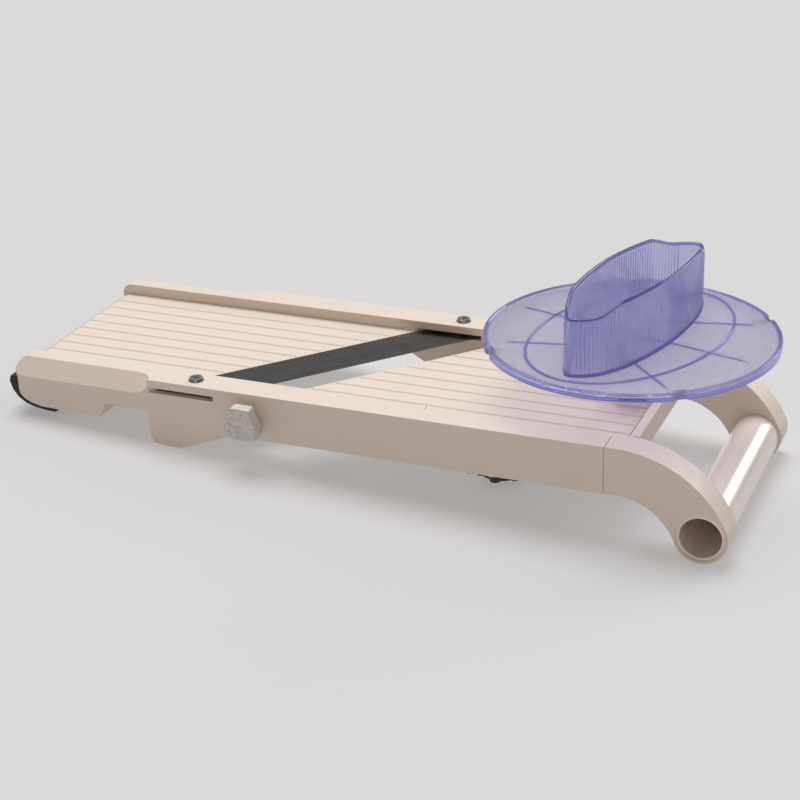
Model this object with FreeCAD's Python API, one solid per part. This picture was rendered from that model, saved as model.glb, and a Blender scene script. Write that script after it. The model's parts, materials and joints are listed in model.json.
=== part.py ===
import FreeCAD, Part
import math
import os

# Mandoline slicer, modelled in millimetres.
# The board frame has X along the rails (0 where the handle frame meets the body, the nose at minus X),
# Y from the near rail's outer face to the far rail, and Z = 0 on the rail tops.
# The last step leans the whole slicer onto its two feet and its handle, and moves the origin below it.

V = FreeCAD.Vector

# Rails and beds
RAIL_W = 15.55
INNER_W = 97.0
TOTAL_W = RAIL_W + INNER_W + RAIL_W
MID_Y = TOTAL_W / 2
FAR_IN = RAIL_W + INNER_W
WALL = 3.0
RAIL_DEPTH = 23.3
NOSE_X = -309.2
NOSE_TOP_X = -304.5
NOSE_BOTTOM = -23.7
NOSE_BLOCK_END = -260.0
NOTCH_Z = -16.5
NOSE_CORNER_R = 6.0
BED_Z = -5.55
BED_T = 4.0
BED_FRONT_X = -305.2
GROOVE_PITCH = 10.0
GROOVE_FIRST_Y = 21.7
GROOVE_COUNT = 9
GROOVE_HALF_W = 0.8
GROOVE_DEPTH = 0.8
REBATE_X = -91.0
REBATE_W = 3.5
REBATE_DEPTH = 0.5
CHAMFER_W = 7.5
CHAMFER_H = 8.05
CHAMFER_END_X = -231.7
CHAMFER_FADE = 8.3
CHAMFER_ROOF = -9.6

# Hollows moulded into the underside: X spans under the rails, and X and Y spans in the nose block
NEAR_POCKETS = ((-297.0, -263.0), (-257.0, -236.0), (-162.0, -126.0), (-114.0, -76.0),
                (-49.0, -25.0), (-16.4, 1.0))
FAR_POCKETS = ((-297.0, -263.0), (-257.0, -222.0), (-219.0, -184.0), (-181.0, -146.0), (-95.0, -78.0),
               (-49.0, -25.0), (-16.4, 1.0))
NOSE_POCKET = (-297.0, -263.0)
NOSE_CELLS = ((18.5, 38.8), (41.2, 62.8), (65.2, 86.8), (89.2, 109.6))

# Feet under the two rails, as X spans, and the height of the near foot's sole
NEAR_FOOT = (-230.4, -215.8)
FAR_FOOT = (-116.0, -100.0)
NEAR_FOOT_MID_Z = -34.1

# Slicing blade, set across the board on a slant
SLANT = 0.864
BLADE_BACK = -175.9
BLADE_EDGE = -144.3
BLADE_T = 0.9
BLADE_BEVEL = 3.2
BLADE_EDGE_T = 0.08
BLADE_END_GAP = 3.2
SLOT_BACK = -176.5
SLOT_FRONT = -140.9
SLOT_TOP = -3.9
SLOT_BOTTOM = -6.5
BLADE_MID = (BLADE_BACK + BLADE_EDGE) / 2
BLADE_SCREW_Y = (7.75, 120.35)
BLADE_SCREW_R = 2.0
BLADE_SCREW_HEAD_R = 4.0
BLADE_SCREW_HEAD_H = 1.6
BLADE_SCREW_HOLE_R = 2.25
BLADE_SCREW_END = -15.2
BLADE_NUT_AF = 7.0
BLADE_NUT_TOP = -11.0
BLADE_NUT_T = 3.2
LANDING_EDGE = -155.5
LANDING_BEAM_BACK = -184.0
LANDING_BEAM_FRONT = -173.0
LANDING_BEAM_Z = -16.0
LANDING_RIB_Y = (40.0, 64.0, 88.0)
LANDING_RIB_T = 2.4
LANDING_RIB_Z = -14.5

# Feed bed, 1.85 mm below the blade's edge
FEED_Z = -7.4
FEED_T = 4.0
FEED_EDGE = -131.7
FEED_END_X = 3.0
FEED_GROOVE_END = 4.0
FEED_GAP = 0.3
FEED_LIP = 5.0
FEED_LIP_T = 1.6
SKIRT_T = 3.0
SKIRT_Z = -16.0
FEED_RIB_Z = -15.0
FEED_RIB_Y = (52.0, 76.0)
FEED_RIB_T = 2.5

# Guide pins on the feed bed's sides, running in upright slots in the rails
PIN_R = 1.5
PIN_RUN = 0.05
PIN_Z = -13.0
PIN_NEAR_X = (-120.0, -20.0)
PIN_FAR_X = (-75.0, -20.0)
PIN_IN = 6.0
PIN_OUT = 2.6
PIN_SLOT_DOWN = 3.4
PIN_SLOT_UP = 1.7

# Thickness screws under the feed bed
THICK_X = -61.0
THICK_Y = (36.0, 92.1)
FEED_BOSS_R = 7.0
FEED_BOSS_Z = -17.0
FLANGE_R = 3.95
FLANGE_BORE_R = 4.0
FLANGE_TOP = -13.3
FLANGE_BOTTOM = -16.9
FLANGE_BORE_TOP = -12.9
NECK_R = 2.1
CLIP_T = 1.2
CLIP_SLOT = 4.6
CLIP_SIZE = 13.0
THREAD_R = 2.5
THREAD_BORE_R = 2.56
THICK_SCREW_END = -37.0
KNOB_TOP = -33.4
KNOB_BOTTOM = -39.2
KNOB_R = 10.0
KNOB_LOBE_R = 2.6
KNOB_LOBES = 6
KNOB_HUB_R = 5.5
KNOB_HUB_T = 1.0

# Bridge that carries the thickness screws
BRIDGE_X = (-70.0, -52.0)
BRIDGE_Z = (-25.2, -22.2)
BRIDGE_Y_GAP = 4.2
BRIDGE_SEAT_Y = 3.9
BRIDGE_X_GAP = 0.3
BRIDGE_HUB_R = 7.5
BRIDGE_HUB_Z = -30.6
BRIDGE_RIB_T = 2.5
BRIDGE_RIB_Z = -28.2
INSERT_R = 4.2
INSERT_LIP_R = 5.2
INSERT_LIP_T = 0.8
BRIDGE_SCREW_Y = (8.0, 120.1)
BRIDGE_SCREW_DX = 5.0
BRIDGE_SCREW_R = 1.4
BRIDGE_SCREW_HEAD_R = 2.7
BRIDGE_SCREW_HEAD_H = 1.5
BRIDGE_SCREW_TOP = -14.0

# Side clamp screw on the near rail
SIDE_X = -177.0
SIDE_Z = -11.5
SIDE_THREAD_R = 2.5
SIDE_BORE_R = 2.56
SIDE_INSERT_R = 4.4
SIDE_INSERT_END = 5.0
SIDE_NECK_R = 1.9
SIDE_FLANGE_R = 3.2
SIDE_FLANGE_Y = (11.2, 12.6)
SIDE_KNOB_FACE = -10.0
SIDE_KNOB_BACK = -4.2
SIDE_KNOB_OUTLINE = ((-5.6, 8.0), (4.6, 8.0), (8.8, -2.6), (7.2, -8.6), (-6.4, -8.6), (-8.8, -3.2))
SIDE_KNOB_HUB_R = 4.6
SIDE_HUB_END = -0.4
SIDE_THREAD_START = -7.0
SHOE_HALF_W = 5.0
SHOE_HALF_H = 3.9
SHOE_RUN = 0.05
SHOE_Y = (9.6, 15.2)
SHOE_POCKET_Y = 5.4
SHOE_FIT = 0.06

# Handle frame and tube
ARM_LEVEL = 5.0
ARM_DEPTH = 23.0
TUBE_X = 45.1
TUBE_Z = -38.2
TUBE_BOSS_R = 12.6
TUBE_R = 11.4
TUBE_BORE_R = 9.8
TUBE_INSET = 0.5
ARM_TOP_R = 56.8
ARM_LOW_R = 30.2
BAR_X = (7.6, 12.0)
BAR_DEPTH = 11.5
TONGUE_L = 14.0
TONGUE_GAP = 0.1
TONGUE_Z = (-20.0, -3.2)
SEAM_W = 0.35
SEAM_DEPTH = 0.5
JOINT_SCREW_X = -7.0
JOINT_SCREW_Z = -17.0
JOINT_SCREW_R = 1.6
JOINT_SCREW_HEAD_R = 3.2
JOINT_SCREW_HEAD_H = 1.8
JOINT_SCREW_L = 11.0

# Rubber pad round the nose
PAD_Y_GAP = 1.0
PAD_OUT = ((-311.6, -9.2), (-312.4, -12.0), (-311.0, -16.6), (-308.2, -20.4), (-304.0, -23.2),
           (-298.6, -24.9), (-292.0, -25.7), (-287.0, -25.9))
PAD_IN = ((-286.2, -25.0), (-286.2, -22.6), (-294.5, -21.8), (-301.5, -19.2), (-305.4, -14.5), (-306.6, -9.2))

# Hand guard
GUARD_X = -6.3
GUARD_TOP = 28.9
GUARD_R = 69.9
GUARD_T = 2.0
LIP_H = 4.0
LIP_T = 2.0
RIM_BEAD_W = 1.6
RIM_BEAD_H = 0.7
OVAL_A = 64.0
OVAL_B = 46.0
OVAL_W = 1.8
OVAL_H = 0.9
NOTCH_ANGLE = 34.0
NOTCH_W = 6.0
NOTCH_IN = 1.4
GRIP_ANGLE = 74.7
GRIP_X = -4.35
GRIP_Y = 64.55
GRIP_WALL = 2.0
GRIP_SIDE = ((-59.5, 0.0), (-57.6, 5.4), (-52.8, 10.4), (-45.6, 14.1), (-36.0, 17.0), (-20.0, 18.8),
             (-4.0, 19.2), (11.0, 17.9), (27.0, 15.3), (39.5, 12.0), (50.0, 7.6), (56.4, 3.6))
GRIP_TOP = ((-62.0, 27.4), (-54.0, 27.6), (-48.0, 28.6), (-42.0, 30.6), (-36.0, 31.8), (-20.0, 32.7),
            (0.0, 33.0), (20.0, 32.7), (36.0, 31.8), (42.0, 30.6), (48.0, 28.6), (54.0, 27.6), (62.0, 27.4))

# Pin carrier below the guard
CARRIER_Y = 69.0
CARRIER_FLANGE_R = 13.0
CARRIER_FLANGE_T = 2.4
CARRIER_FLANGE_Z = 21.0
CARRIER_STEM_R = 6.5
CARRIER_STEM_BORE_R = 4.4
CARRIER_PLATE_R = 10.0
CARRIER_PLATE_Z = (-0.6, 2.4)
CARRIER_SCREW_RING_R = 9.8
CARRIER_BOSS_R = 2.9
CARRIER_SCREW_R = 1.2
CARRIER_HEAD_R = 2.2
CARRIER_HEAD_H = 1.4
CARRIER_SCREWS = 3
FOOD_PIN_R = 0.8
FOOD_PIN_TIP_Z = -5.2
FOOD_PIN_POINT = 2.2
FOOD_PIN_TOP = 1.8
FOOD_PIN_RING_R = 7.6
FOOD_PINS = 6


def slanted(x_mid, y):
    """X at this Y of a line that crosses the board's middle at x_mid, parallel to the blade."""
    return x_mid + SLANT * (y - MID_Y)


def box(x0, x1, y0, y1, z0, z1):
    """Block between two X, two Y and two Z values."""
    return Part.makeBox(x1 - x0, y1 - y0, z1 - z0, V(x0, y0, z0))


def rod(radius, start, end):
    """Solid cylinder between two points."""
    step = V(*end) - V(*start)
    return Part.makeCylinder(radius, step.Length, V(*start), step)


def side_prism(points, y0, y1):
    """Closed outline of (x, z) points, swept from y0 to y1."""
    corners = [V(x, y0, z) for x, z in points]
    face = Part.Face(Part.makePolygon(corners + corners[:1]))
    return face.extrude(V(0, y1 - y0, 0))


def plan_prism(points, z0, z1):
    """Closed outline of (x, y) points, swept from z0 to z1."""
    corners = [V(x, y, z0) for x, y in points]
    face = Part.Face(Part.makePolygon(corners + corners[:1]))
    return face.extrude(V(0, 0, z1 - z0))


def end_prism(points, x0, x1):
    """Closed outline of (y, z) points, swept from x0 to x1."""
    corners = [V(x0, y, z) for y, z in points]
    face = Part.Face(Part.makePolygon(corners + corners[:1]))
    return face.extrude(V(x1 - x0, 0, 0))


def slant_prism(back, front, y0, y1, z0, z1):
    """Plate between two lines parallel to the blade."""
    points = [(slanted(back, y0), y0), (slanted(front, y0), y0)]
    points = points + [(slanted(front, y1), y1), (slanted(back, y1), y1)]
    return plan_prism(points, z0, z1)


def joined(shapes):
    """One solid made of several overlapping ones."""
    return shapes[0].fuse(shapes[1:]).removeSplitter()


def without(shape, cutters):
    """The shape with every cutter taken away."""
    return shape.cut(cutters)


def hexagon(across_flats, x, y, z0, z1):
    """Upright hexagonal prism."""
    reach = across_flats / math.sqrt(3)
    turns = [math.radians(60 * k) for k in range(6)]
    points = [(x + reach * math.cos(turn), y + reach * math.sin(turn)) for turn in turns]
    return plan_prism(points, z0, z1)


# Lean of the board: the near foot and the tube's boss both touch the table
near_mid_x = sum(NEAR_FOOT) / 2
reach_x = TUBE_X - near_mid_x
reach_z = NEAR_FOOT_MID_Z - TUBE_Z
lean = math.asin(TUBE_BOSS_R / math.hypot(reach_x, reach_z)) + math.atan2(reach_z, reach_x)


def table_z(x):
    """Height of the table under the board at this X, in the board frame."""
    return NEAR_FOOT_MID_Z - math.tan(lean) * (x - near_mid_x)


def nose_curve(top_x, top_z):
    """Points down the rounded front of the nose, from its top to its underside."""
    drop = top_z - 4.5
    top = [(top_x, top_z), (top_x - 2.2, top_z - 0.7), (top_x - 3.7, top_z - 2.2), (NOSE_X, drop)]
    low = [(-309.0, -12.4), (-308.2, -14.8), (-306.8, -17.4), (-304.2, -20.0), (-300.4, -22.0), (-294.5, -23.4)]
    return top + low


def rail_outline(foot, start, heel_x):
    """Side outline of one rail: top, handle end, underside with its foot, and the nose."""
    under = [(0, 0), (0, -RAIL_DEPTH), (heel_x, -RAIL_DEPTH)]
    sole = [(foot[1], table_z(foot[1])), (foot[0], table_z(foot[0]))]
    nose = [(NOSE_BLOCK_END + 2.6, NOTCH_Z), (NOSE_BLOCK_END, NOSE_BOTTOM), (-285.4, NOSE_BOTTOM)]
    return under + sole + start + nose + nose_curve(NOSE_TOP_X, 0)[::-1]


def grooves(z, x_back, x_front):
    """Cutters for the lengthwise grooves: x_back and x_front give each groove's two ends at its Y."""
    cutters = []
    for k in range(GROOVE_COUNT):
        y = GROOVE_FIRST_Y + GROOVE_PITCH * k
        lift = GROOVE_DEPTH / 4
        half = GROOVE_HALF_W * (GROOVE_DEPTH + lift) / GROOVE_DEPTH
        section = [(y - half, z + lift), (y + half, z + lift), (y, z - GROOVE_DEPTH)]
        cutters.append(end_prism(section, x_back(y), x_front(y)))
    return cutters


def chamfer_cutter(side):
    """Cutter for the long chamfer on a rail's outer edge; side is 1 for the near rail, -1 for the far one."""
    y_face = 0 if side > 0 else TOTAL_W
    extra = 0.15
    section = [(-extra * CHAMFER_W, extra * CHAMFER_H), ((1 + extra) * CHAMFER_W, extra * CHAMFER_H),
               (-extra * CHAMFER_W, -(1 + extra) * CHAMFER_H)]
    full = end_prism([(y_face + side * y, z) for y, z in section], NOSE_X - 1, CHAMFER_END_X - CHAMFER_FADE)
    wires = []
    for angle in (0, 20, 40, 60, 75, 87):
        size = math.cos(math.radians(angle))
        x = CHAMFER_END_X - CHAMFER_FADE + CHAMFER_FADE * math.sin(math.radians(angle))
        corners = [V(x, y_face + side * y * size, z * size) for y, z in section]
        wires.append(Part.makePolygon(corners + corners[:1]))
    return [full, Part.makeLoft(wires, True, True)]


def rail_pocket(x0, x1, y0):
    """Hollow under a rail, between its two walls; it stays lower where the long chamfer is."""
    roof = CHAMFER_ROOF if x1 < CHAMFER_END_X else -WALL
    return box(x0, x1, y0 + WALL, y0 + RAIL_W - WALL, -60, roof)


def build_body_frame():
    """Both rails, the landing bed and the nose block, in one moulding."""
    near_start = [(-232.0, -30.4), (-233.3, NOTCH_Z)]
    far_start = [(-119.0, -36.0), (-130.7, -22.4), (-141.0, NOTCH_Z)]
    near = side_prism(rail_outline(NEAR_FOOT, near_start, -187.5), 0, RAIL_W)
    far = side_prism(rail_outline(FAR_FOOT, far_start, -72.0), FAR_IN, TOTAL_W)
    block = [(-285.4, NOSE_BOTTOM), (NOSE_BLOCK_END, NOSE_BOTTOM), (NOSE_BLOCK_END + 2.6, NOTCH_Z)]
    block = block + [(NOSE_BLOCK_END + 2.6, BED_Z)] + nose_curve(BED_FRONT_X, BED_Z)
    middle = side_prism(block, RAIL_W, FAR_IN)
    plate_points = [(NOSE_BLOCK_END, RAIL_W), (slanted(LANDING_EDGE, RAIL_W), RAIL_W),
                    (slanted(LANDING_EDGE, FAR_IN), FAR_IN), (NOSE_BLOCK_END, FAR_IN)]
    plate = plan_prism(plate_points, BED_Z - BED_T, BED_Z)
    beam = slant_prism(LANDING_BEAM_BACK, LANDING_BEAM_FRONT, RAIL_W, FAR_IN, LANDING_BEAM_Z, BED_Z - BED_T)
    frame = joined([near, far, middle, plate, beam])
    for y in LANDING_RIB_Y:
        half = LANDING_RIB_T / 2
        rib_end = slanted(LANDING_BEAM_BACK, y) + 1
        rib = box(NOSE_BLOCK_END, rib_end, y - half, y + half, LANDING_RIB_Z, BED_Z - BED_T)
        frame = frame.fuse(rib)
    pockets = [box(NOSE_POCKET[0], NOSE_POCKET[1], y0, y1, -40, BED_Z - BED_T) for y0, y1 in NOSE_CELLS]
    pockets = pockets + [rail_pocket(x0, x1, 0) for x0, x1 in NEAR_POCKETS]
    pockets = pockets + [rail_pocket(x0, x1, FAR_IN) for x0, x1 in FAR_POCKETS]
    frame = without(frame, pockets)
    cuts = chamfer_cutter(1) + chamfer_cutter(-1)
    cuts.append(slant_prism(SLOT_BACK, SLOT_FRONT, -1, TOTAL_W + 1, SLOT_BOTTOM, SLOT_TOP))
    cuts.append(slant_prism(BLADE_BACK - 0.15, BLADE_EDGE, RAIL_W, FAR_IN, BED_Z - BLADE_T, BED_Z + 1))
    cuts = cuts + grooves(BED_Z, lambda y: NOSE_X - 1, lambda y: slanted(BLADE_BACK - 2.0, y))
    cuts.append(box(REBATE_X, 1, RAIL_W - REBATE_W, RAIL_W + 1, -REBATE_DEPTH, 1))
    cuts.append(box(REBATE_X, 1, FAR_IN - 1, FAR_IN + REBATE_W, -REBATE_DEPTH, 1))
    for y in BLADE_SCREW_Y:
        x = slanted(BLADE_MID, y)
        cuts.append(rod(BLADE_SCREW_HOLE_R, (x, y, -60), (x, y, 1)))
        cuts.append(hexagon(BLADE_NUT_AF + 0.1, x, y, -60, BLADE_NUT_TOP))
    for x in PIN_NEAR_X:
        cuts.append(pin_slot(x, RAIL_W - WALL - 1, RAIL_W + 1))
    for x in PIN_FAR_X:
        cuts.append(pin_slot(x, FAR_IN - 1, FAR_IN + WALL + 1))
    seat = (BRIDGE_X[0] - BRIDGE_X_GAP, BRIDGE_X[1] + BRIDGE_X_GAP)
    cuts.append(box(seat[0], seat[1], BRIDGE_SEAT_Y, RAIL_W + 1, -60, BRIDGE_Z[1]))
    cuts.append(box(seat[0], seat[1], FAR_IN - 1, TOTAL_W - BRIDGE_SEAT_Y, -60, BRIDGE_Z[1]))
    for x, y in bridge_screw_spots():
        cuts.append(rod(BRIDGE_SCREW_R, (x, y, BRIDGE_SCREW_TOP), (x, y, BRIDGE_Z[0])))
    cuts.append(rod(SIDE_INSERT_R, (SIDE_X, -1, SIDE_Z), (SIDE_X, SIDE_INSERT_END, SIDE_Z)))
    cuts.append(rod(SIDE_THREAD_R + 0.2, (SIDE_X, 0, SIDE_Z), (SIDE_X, SHOE_POCKET_Y + 1, SIDE_Z)))
    half_w = SHOE_HALF_W + SHOE_FIT
    half_h = SHOE_HALF_H + SHOE_FIT
    cuts.append(box(SIDE_X - half_w, SIDE_X + half_w, SHOE_POCKET_Y, RAIL_W + 1, SIDE_Z - half_h, SIDE_Z + half_h))
    for y0, y1, face in joint_screw_spans():
        cuts.append(joint_screw_rod(JOINT_SCREW_R, y0, y1))
        inward = 1 if y1 > y0 else -1
        cuts.append(joint_screw_rod(JOINT_SCREW_HEAD_R, face - inward, face + inward * JOINT_SCREW_HEAD_H))
    for y0, y1 in ((-1, SEAM_DEPTH), (TOTAL_W - SEAM_DEPTH, TOTAL_W + 1)):
        cuts.append(box(-SEAM_W, 1, y0, y1, -60, 1))
    cuts.append(box(-SEAM_W, 1, -1, TOTAL_W + 1, -SEAM_DEPTH, 1))
    frame = without(frame, cuts)
    plan = box(NOSE_X - 1, 1, 0, TOTAL_W, -70, 10)
    corner_edges = [e for e in plan.Edges if abs(e.Vertexes[0].Z - e.Vertexes[1].Z) > 1
                    and abs(e.Vertexes[0].X - (NOSE_X - 1)) < 0.1]
    return frame.common(plan.makeFillet(NOSE_CORNER_R, corner_edges)).removeSplitter()


def pin_slot(x, y0, y1):
    """Upright slot for a guide pin through a rail's inner wall."""
    half = PIN_R + PIN_RUN
    low = PIN_Z - PIN_SLOT_DOWN
    high = PIN_Z + PIN_SLOT_UP
    ends = [rod(half, (x, y0, low), (x, y1, low)), rod(half, (x, y0, high), (x, y1, high))]
    return joined([box(x - half, x + half, y0, y1, low, high)] + ends)


def bridge_screw_spots():
    """X and Y of the four screws that hold the bridge."""
    middle = sum(BRIDGE_X) / 2
    return [(middle + side * BRIDGE_SCREW_DX, y) for side in (-1, 1) for y in BRIDGE_SCREW_Y]


def joint_screw_spans():
    """For each handle joint screw: Y of its head side, Y of its tip, and the inner wall's face."""
    near = (RAIL_W, RAIL_W - JOINT_SCREW_L, RAIL_W)
    far = (FAR_IN, FAR_IN + JOINT_SCREW_L, FAR_IN)
    return [near, far]


def joint_screw_rod(radius, y0, y1):
    """Cylinder on a handle joint screw's axis."""
    return rod(radius, (JOINT_SCREW_X, y0, JOINT_SCREW_Z), (JOINT_SCREW_X, y1, JOINT_SCREW_Z))


def build_handle_frame():
    """Two curved arms with bosses for the tube, a crossbar, and tongues that plug into the rails."""
    high = V(ARM_LEVEL, 0, 0)
    high_centre = V(ARM_LEVEL, 0, -ARM_TOP_R)
    boss = V(TUBE_X, 0, TUBE_Z)
    high_way = (boss - high_centre).normalize()
    high_end = high_centre + high_way * ARM_TOP_R
    high_mid = high_centre + (high_way + V(0, 0, 1)).normalize() * ARM_TOP_R
    low = V(ARM_LEVEL, 0, -ARM_DEPTH)
    low_centre = V(ARM_LEVEL, 0, -ARM_DEPTH - ARM_LOW_R)
    low_way = (boss - low_centre).normalize()
    low_end = low_centre + low_way * ARM_LOW_R
    low_mid = low_centre + (low_way + V(0, 0, 1)).normalize() * ARM_LOW_R
    far_side = boss + V(1, 0, -1).normalize() * TUBE_BOSS_R
    start = V(0, 0, 0)
    corner = V(0, 0, -ARM_DEPTH)
    edges = [Part.LineSegment(start, high).toShape(), Part.Arc(high, high_mid, high_end).toShape(),
             Part.Arc(high_end, far_side, low_end).toShape(), Part.Arc(low_end, low_mid, low).toShape(),
             Part.LineSegment(low, corner).toShape(), Part.LineSegment(corner, start).toShape()]
    face = Part.Face(Part.Wire(edges))
    near = face.extrude(V(0, RAIL_W, 0))
    far = near.translated(V(0, FAR_IN, 0))
    bar = box(BAR_X[0], BAR_X[1], RAIL_W, FAR_IN, -BAR_DEPTH, 0)
    tongues = []
    for y0 in (0, FAR_IN):
        tongues.append(box(-TONGUE_L, 1, y0 + WALL + TONGUE_GAP, y0 + RAIL_W - WALL - TONGUE_GAP,
                           TONGUE_Z[0], TONGUE_Z[1]))
    frame = joined([near, far, bar] + tongues)
    cuts = [rod(TUBE_R, (TUBE_X, -1, TUBE_Z), (TUBE_X, TOTAL_W + 1, TUBE_Z))]
    for y0, y1, face_y in joint_screw_spans():
        cuts.append(joint_screw_rod(JOINT_SCREW_R, y0, y1))
    for x in PIN_NEAR_X + PIN_FAR_X:
        if x > -TONGUE_L - 12:
            half = PIN_R + 1
            cuts.append(box(x - half, x + half, 0, TOTAL_W, -22, -6))
    return without(frame, cuts)


def build_tube():
    """Open tube that is the handle's grip."""
    outer = rod(TUBE_R, (TUBE_X, TUBE_INSET, TUBE_Z), (TUBE_X, TOTAL_W - TUBE_INSET, TUBE_Z))
    inner = rod(TUBE_BORE_R, (TUBE_X, -1, TUBE_Z), (TUBE_X, TOTAL_W + 1, TUBE_Z))
    return outer.cut(inner)


def build_pad():
    """Rubber strip moulded round the lower edge of the nose."""
    return side_prism(list(PAD_OUT) + list(PAD_IN), PAD_Y_GAP, TOTAL_W - PAD_Y_GAP)


def build_blade():
    """Flat steel blade with a bevelled cutting edge and two screw holes."""
    top = BED_Z
    blade = slant_prism(BLADE_BACK, BLADE_EDGE, BLADE_END_GAP, TOTAL_W - BLADE_END_GAP, top - BLADE_T, top)
    under = top - BLADE_T - 0.001
    bevel_section = [(BLADE_EDGE - BLADE_BEVEL, under), (BLADE_EDGE + 1, under), (BLADE_EDGE + 1, top),
                     (BLADE_EDGE, top - BLADE_EDGE_T)]
    corners = [V(slanted(x, -5), -5, z) for x, z in bevel_section]
    face = Part.Face(Part.makePolygon(corners + corners[:1]))
    run = TOTAL_W + 10
    bevel = face.extrude(V(SLANT * run, run, 0))
    holes = []
    for y in BLADE_SCREW_Y:
        x = slanted(BLADE_MID, y)
        holes.append(rod(BLADE_SCREW_HOLE_R, (x, y, -10), (x, y, 0)))
    return without(blade, [bevel] + holes)


def cross_recess(x, y, z, size, depth):
    """Two crossed slots for a cross-head driver."""
    half = 0.35
    return [box(x - size, x + size, y - half, y + half, z - depth, z + 1),
            box(x - half, x + half, y - size, y + size, z - depth, z + 1)]


def build_blade_screws():
    """Two screws that clamp the blade in its slots."""
    screws = []
    for y in BLADE_SCREW_Y:
        x = slanted(BLADE_MID, y)
        head = Part.makeCone(BLADE_SCREW_HEAD_R, BLADE_SCREW_HEAD_R * 0.8, BLADE_SCREW_HEAD_H, V(x, y, 0))
        shank = rod(BLADE_SCREW_R, (x, y, BLADE_SCREW_END), (x, y, 0.5))
        screws.append(head.fuse(shank).cut(cross_recess(x, y, BLADE_SCREW_HEAD_H, 2.2, 1.0)))
    return Part.makeCompound(screws)


def build_blade_nuts():
    """Hexagonal nuts below the rails, on the blade screws."""
    nuts = []
    for y in BLADE_SCREW_Y:
        x = slanted(BLADE_MID, y)
        nut = hexagon(BLADE_NUT_AF, x, y, BLADE_NUT_TOP - BLADE_NUT_T, BLADE_NUT_TOP)
        nuts.append(nut.cut(rod(BLADE_SCREW_R, (x, y, -30), (x, y, 0))))
    return Part.makeCompound(nuts)


def build_joint_screws():
    """Two countersunk screws that hold the handle frame's tongues in the rails."""
    screws = []
    for y0, y1, face in joint_screw_spans():
        inward = 1 if y1 > y0 else -1
        head_end = face + inward * JOINT_SCREW_HEAD_H
        head = joint_screw_rod(JOINT_SCREW_HEAD_R, face, head_end)
        shank = joint_screw_rod(JOINT_SCREW_R, face, y1)
        slot = box(JOINT_SCREW_X - 2, JOINT_SCREW_X + 2, face - 0.8, face + 0.8,
                   JOINT_SCREW_Z - 0.4, JOINT_SCREW_Z + 0.4)
        screws.append(head.fuse(shank).cut(slot))
    return Part.makeCompound(screws)


def build_bridge():
    """Bar across the underside that carries the two thickness screws."""
    bar = box(BRIDGE_X[0], BRIDGE_X[1], BRIDGE_Y_GAP, TOTAL_W - BRIDGE_Y_GAP, BRIDGE_Z[0], BRIDGE_Z[1])
    parts = [bar]
    for x in (BRIDGE_X[0], BRIDGE_X[1] - BRIDGE_RIB_T):
        parts.append(box(x, x + BRIDGE_RIB_T, RAIL_W + 1, FAR_IN - 1, BRIDGE_RIB_Z, BRIDGE_Z[1]))
    for y in THICK_Y:
        parts.append(rod(BRIDGE_HUB_R, (THICK_X, y, BRIDGE_HUB_Z), (THICK_X, y, BRIDGE_Z[1])))
    cuts = []
    for y in THICK_Y:
        cuts.append(rod(INSERT_R, (THICK_X, y, -40), (THICK_X, y, 0)))
        cuts.append(rod(INSERT_LIP_R, (THICK_X, y, BRIDGE_Z[1] - INSERT_LIP_T), (THICK_X, y, 0)))
    for x, y in bridge_screw_spots():
        cuts.append(rod(BRIDGE_SCREW_R, (x, y, -40), (x, y, 0)))
    return without(joined(parts), cuts)


def build_inserts():
    """Two threaded brass inserts pressed into the bridge."""
    inserts = []
    for y in THICK_Y:
        sleeve = rod(INSERT_R, (THICK_X, y, BRIDGE_HUB_Z), (THICK_X, y, BRIDGE_Z[1]))
        lip = rod(INSERT_LIP_R, (THICK_X, y, BRIDGE_Z[1] - INSERT_LIP_T), (THICK_X, y, BRIDGE_Z[1]))
        inserts.append(sleeve.fuse(lip).cut(rod(THREAD_BORE_R, (THICK_X, y, -40), (THICK_X, y, 0))))
    return Part.makeCompound(inserts)


def build_bridge_screws():
    """Four screws that hold the bridge to the rails."""
    screws = []
    for x, y in bridge_screw_spots():
        head = rod(BRIDGE_SCREW_HEAD_R, (x, y, BRIDGE_Z[0] - BRIDGE_SCREW_HEAD_H), (x, y, BRIDGE_Z[0]))
        shank = rod(BRIDGE_SCREW_R, (x, y, BRIDGE_Z[0] - 0.5), (x, y, BRIDGE_SCREW_TOP))
        recess = []
        for dx, dy in ((1.4, 0.3), (0.3, 1.4)):
            recess.append(box(x - dx, x + dx, y - dy, y + dy, BRIDGE_Z[0] - 2, BRIDGE_Z[0] - 0.7))
        screws.append(head.fuse(shank).cut(recess))
    return Part.makeCompound(screws)


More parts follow.
